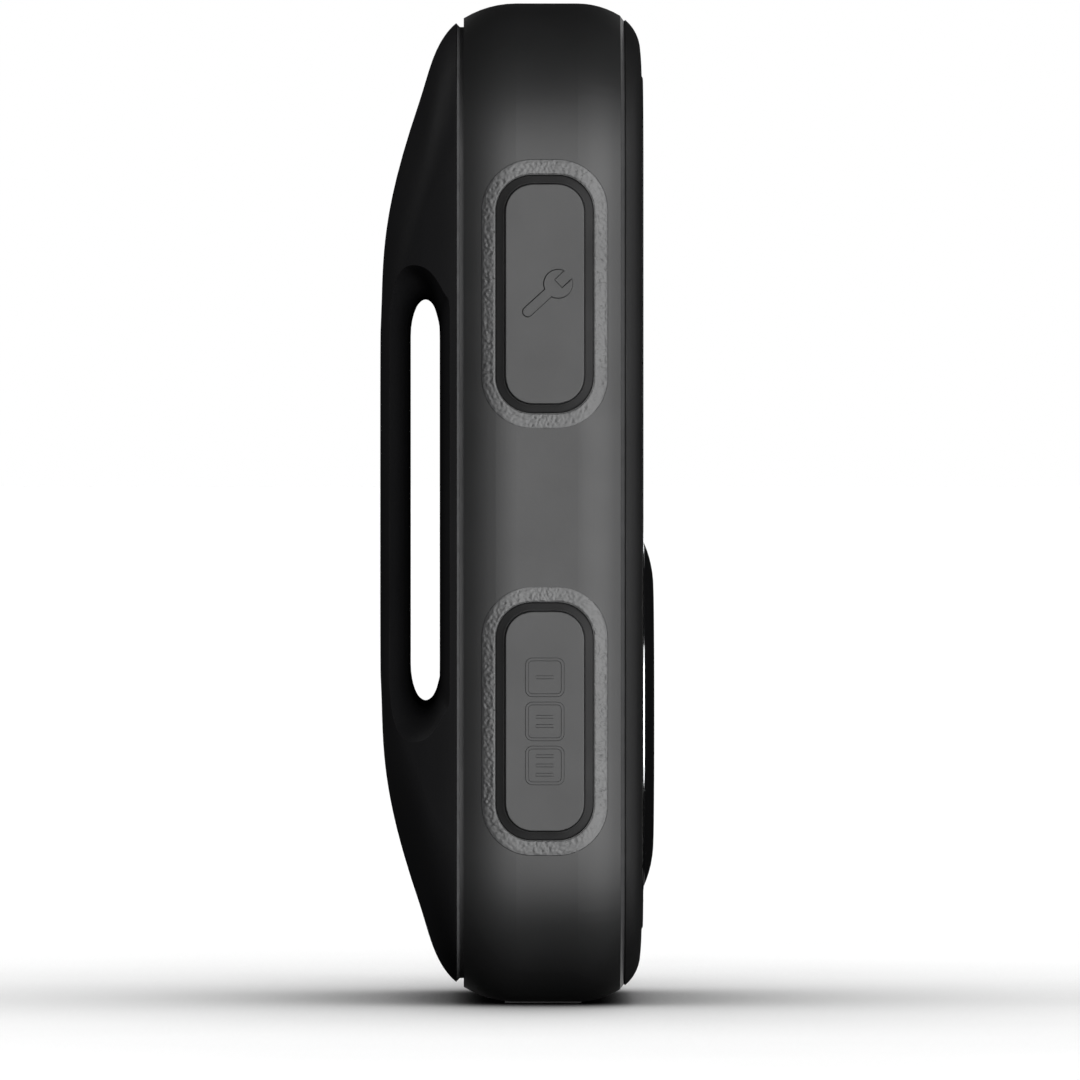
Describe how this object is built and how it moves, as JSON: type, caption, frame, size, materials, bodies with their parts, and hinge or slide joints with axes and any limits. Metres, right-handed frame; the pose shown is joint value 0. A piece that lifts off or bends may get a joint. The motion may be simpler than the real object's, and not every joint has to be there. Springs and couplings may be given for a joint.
{
  "type": "cycling computer",
  "caption": "Slim cycling computer with a grey middle frame, display and rocker pad at the front, oval side keys in rubber rings, and a strap slot through its domed back shell.",
  "frame": {"origin": "centre of the footprint of the whole computer at its lower end", "axes": "+Z along the computer towards its upper end, +Y towards the strap slot side, -Y out of the display, -X out of the side with the setup and mode keys"},
  "size_m": [0.0498, 0.0198, 0.072],
  "materials": {
    "frame_grey": "satin moulded grey, fine grain",
    "shell_black": "satin black, fine spark-eroded grain",
    "bezel_dark": "semi-gloss dark grey",
    "lens_clear": "polished hard-coated window",
    "mask_black": "printed black",
    "trim_chrome": "satin chrome",
    "pad_black": "polished black",
    "ok_dark": "polished dark grey",
    "key_grey": "satin grey, outlined pictogram",
    "rubber_black": "matt moulded rubber",
    "silicone_grey": "matt silicone",
    "screw_black": "black oxide",
    "insert_brass": "turned and knurled",
    "lcd_glass": "reflective liquid-crystal cell",
    "light_guide": "white diffuser",
    "bright_steel": "bright rolled",
    "polyimide": "translucent amber film",
    "board_green": "solder mask on glass laminate",
    "chip_black": "moulded epoxy",
    "ceramic": "fired ceramic with silver patch",
    "pouch_foil": "embossed pouch foil",
    "foam_black": "open-cell foam",
    "switch_body": "moulded nylon",
    "plunger_white": "moulded nylon"
  },
  "bodies": {
    "case": {"mid_frame": "frame_grey", "base_pad": "rubber_black", "back_shell": "shell_black", "case_gasket": "silicone_grey", "case_screws": "screw_black", "threaded_inserts": "insert_brass", "front_bezel": "bezel_dark", "front_lens": "lens_clear", "lens_mask_film": "mask_black", "display_glass": "lcd_glass", "display_backlight": "light_guide", "display_tray": "bright_steel", "display_ribbon": "polyimide", "pad_trim_ring": "trim_chrome", "nav_bracket": "bright_steel", "metal_domes": "bright_steel", "main_board": "board_green", "shield_can": "bright_steel", "processor": "chip_black", "gps_antenna": "ceramic", "board_components": "chip_black", "buzzer": "chip_black", "charge_receptacle": "bright_steel", "battery": "pouch_foil", "battery_foam": "foam_black", "battery_lead": "polyimide", "left_switches": "switch_body", "right_switches": "switch_body", "left_key_board": "board_green", "right_key_board": "board_green", "setup_key_seal": "rubber_black", "mode_key_seal": "rubber_black", "power_key_seal": "rubber_black", "light_key_seal": "rubber_black"},
    "nav_gimbal": {"nav_gimbal": "bright_steel"},
    "nav_pad": {"nav_pad": "pad_black"},
    "ok_key": {"ok_key": "ok_dark"},
    "port_flap": {"port_flap": "rubber_black"},
    "setup_key": {"setup_key": "key_grey", "setup_switch_plunger": "plunger_white"},
    "mode_key": {"mode_key": "key_grey", "mode_switch_plunger": "plunger_white"},
    "power_key": {"power_key": "key_grey", "power_switch_plunger": "plunger_white"},
    "light_key": {"light_key": "key_grey", "light_switch_plunger": "plunger_white"}
  },
  "joints": [
    {"name": "setup_key_press", "type": "slide", "parent": "case", "child": "setup_key", "axis": [1, 0, 0], "range_m": [0, 0.0004], "stiffness_N_per_m": 600, "springref_m": -0.0015},
    {"name": "mode_key_press", "type": "slide", "parent": "case", "child": "mode_key", "axis": [1, 0, 0], "range_m": [0, 0.0004], "stiffness_N_per_m": 600, "springref_m": -0.0015},
    {"name": "power_key_press", "type": "slide", "parent": "case", "child": "power_key", "axis": [-1, 0, 0], "range_m": [0, 0.0004], "stiffness_N_per_m": 600, "springref_m": -0.0015},
    {"name": "light_key_press", "type": "slide", "parent": "case", "child": "light_key", "axis": [-1, 0, 0], "range_m": [0, 0.0004], "stiffness_N_per_m": 600, "springref_m": -0.0015},
    {"name": "pad_rock_sideways", "type": "hinge", "parent": "case", "child": "nav_gimbal", "pos_m": [0, -0.0061, 0.0206], "axis": [0, 0, 1], "range_deg": [-1.3, 1.3], "stiffness_Nm_per_rad": 0.5},
    {"name": "pad_rock_lengthways", "type": "hinge", "parent": "nav_gimbal", "child": "nav_pad", "pos_m": [0, -0.0061, 0.0206], "axis": [1, 0, 0], "range_deg": [-1.3, 1.3], "stiffness_Nm_per_rad": 0.5},
    {"name": "ok_key_press", "type": "slide", "parent": "nav_pad", "child": "ok_key", "axis": [0, 1, 0], "range_m": [0, 0.0003], "stiffness_N_per_m": 500, "springref_m": -0.0015},
    {"name": "port_flap_hinge", "type": "hinge", "parent": "case", "child": "port_flap", "pos_m": [0, 0.00823, 0.01359], "axis": [1, 0, 0], "range_deg": [0, 90]}
  ]
}
